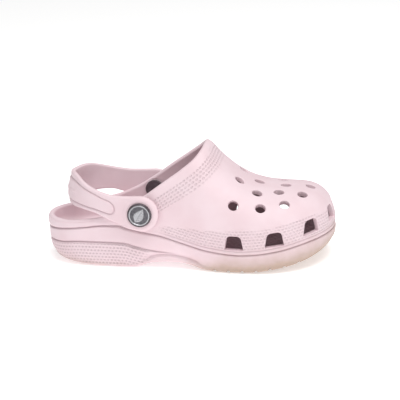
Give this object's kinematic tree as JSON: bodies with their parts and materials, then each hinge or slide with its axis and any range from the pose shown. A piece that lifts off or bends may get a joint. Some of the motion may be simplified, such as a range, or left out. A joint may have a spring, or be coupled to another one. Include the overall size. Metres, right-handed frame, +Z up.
{
  "type": "rubber garden clog",
  "caption": "Slip-on moulded foam clog for the right foot, with a vented upper and a heel strap that swings on two side rivets.",
  "frame": {"origin": "centre of the overall box in X and Y, on the ground under the sole", "axes": "+X towards the toe, +Y towards the inner side of the foot, +Z up"},
  "size_m": [0.2629, 0.1054, 0.1081],
  "materials": {
    "foam_body": "matte, pale pink closed-cell foam with a satin skin",
    "foam_strap": "matte, pale pink closed-cell foam with a satin skin",
    "rivet_dark": "dark grey-brown moulded plastic",
    "rivet_silver": "silver coated, glossy"
  },
  "bodies": {
    "clog": {"clog_body": "foam_body"},
    "strap": {"heel_strap": "foam_strap"},
    "outer_rivet": {"outer_rivet_head": "rivet_dark", "outer_rivet_disc": "rivet_silver", "outer_rivet_cap": "rivet_dark"},
    "inner_rivet": {"inner_rivet_head": "rivet_dark", "inner_rivet_disc": "rivet_silver", "inner_rivet_cap": "rivet_dark"}
  },
  "joints": [
    {"name": "strap_swing", "type": "hinge", "parent": "clog", "child": "strap", "pos_m": [-0.038, -0.003, 0.054], "axis": [0, 1, 0], "range_deg": [-2, 93]},
    {"name": "outer_rivet_spin", "type": "hinge", "parent": "clog", "child": "outer_rivet", "pos_m": [-0.038, -0.045, 0.054], "axis": [0, 1, 0], "continuous": true},
    {"name": "inner_rivet_spin", "type": "hinge", "parent": "clog", "child": "inner_rivet", "pos_m": [-0.038, 0.039, 0.054], "axis": [0, 1, 0], "continuous": true}
  ]
}
